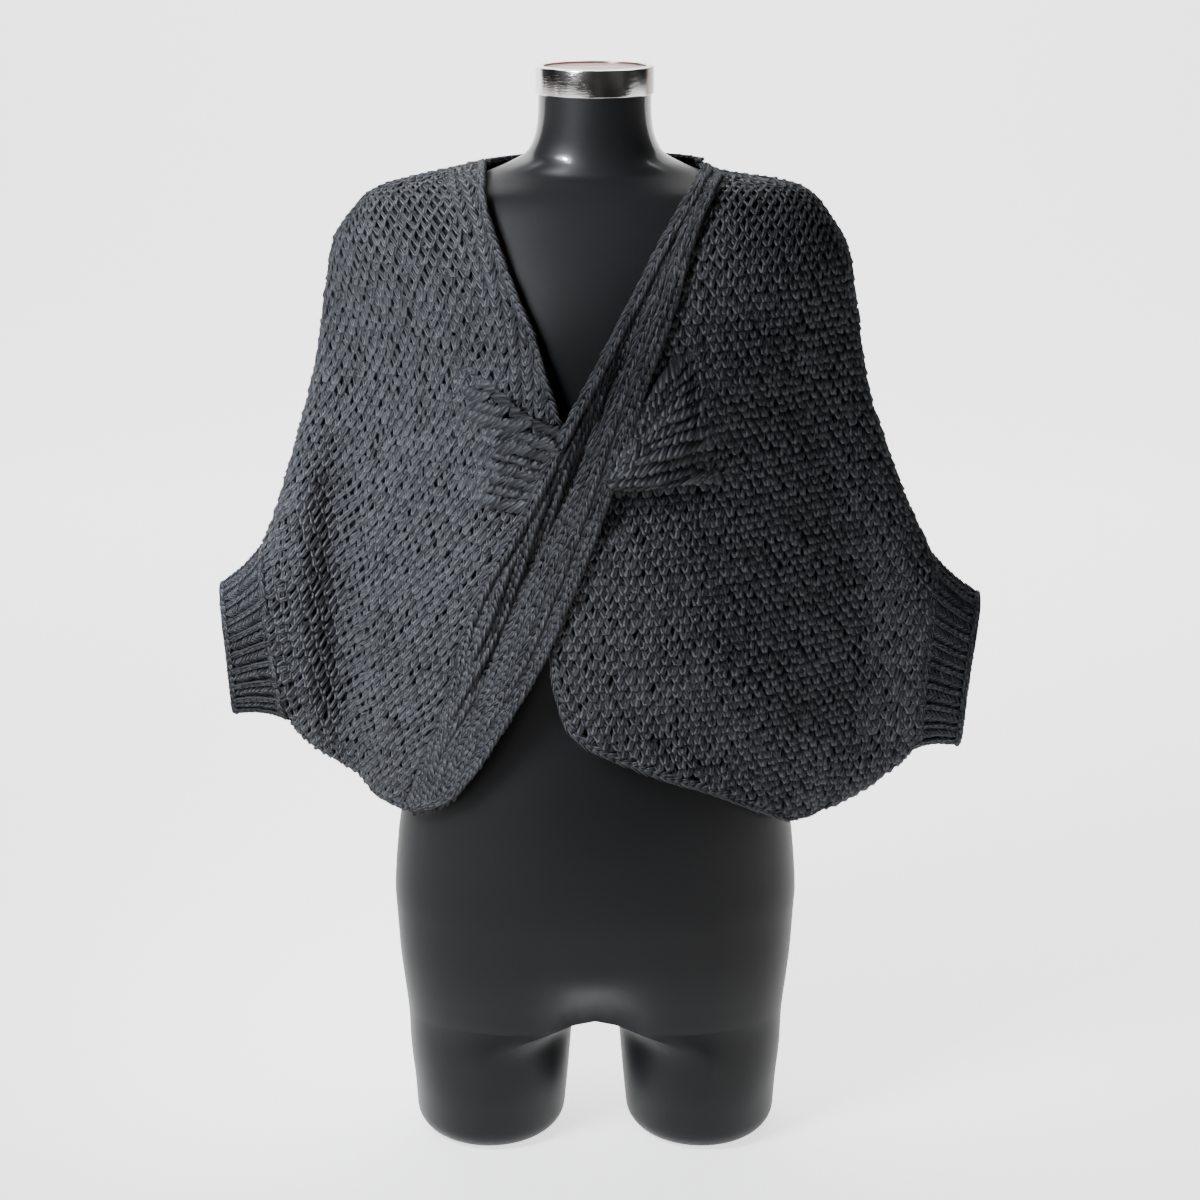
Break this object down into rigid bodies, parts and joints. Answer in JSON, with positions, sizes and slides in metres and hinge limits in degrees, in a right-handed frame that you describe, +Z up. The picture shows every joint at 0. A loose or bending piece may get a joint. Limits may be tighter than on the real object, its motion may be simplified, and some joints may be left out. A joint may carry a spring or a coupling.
{
  "type": "wrap sweater on torso dress form",
  "caption": "Black knitted batwing sweater with a crossed, twisted front, open V neck and ribbed cuffs, on a glossy torso dress form that rests on its thigh ends.",
  "frame": {"origin": "centre of the bounding box's footprint, on the plane that the form stands on", "axes": "+Z up along the form, the garment's front faces -Y, the wearer's left side is at +X"},
  "size_m": [0.618, 0.2627, 0.8905],
  "materials": {
    "front_knit": "soft matt cotton yarn, open stitch",
    "back_knit": "soft matt cotton yarn, open stitch",
    "band_knit": "soft matt cotton yarn, open stitch",
    "cuff_rib": "soft matt cotton yarn, ribbed",
    "black_gloss_plastic": "smooth black gloss",
    "cap_chrome": "polished",
    "cap_top": "satin red-brown"
  },
  "bodies": {
    "root": {"back": "back_knit", "front_right": "front_knit", "front_left": "front_knit", "crossing_band": "band_knit", "cuff_right": "cuff_rib", "cuff_left": "cuff_rib", "dress_form": "black_gloss_plastic", "neck_cap_band": "cap_chrome", "neck_cap_disc": "cap_top"}
  },
  "joints": []
}
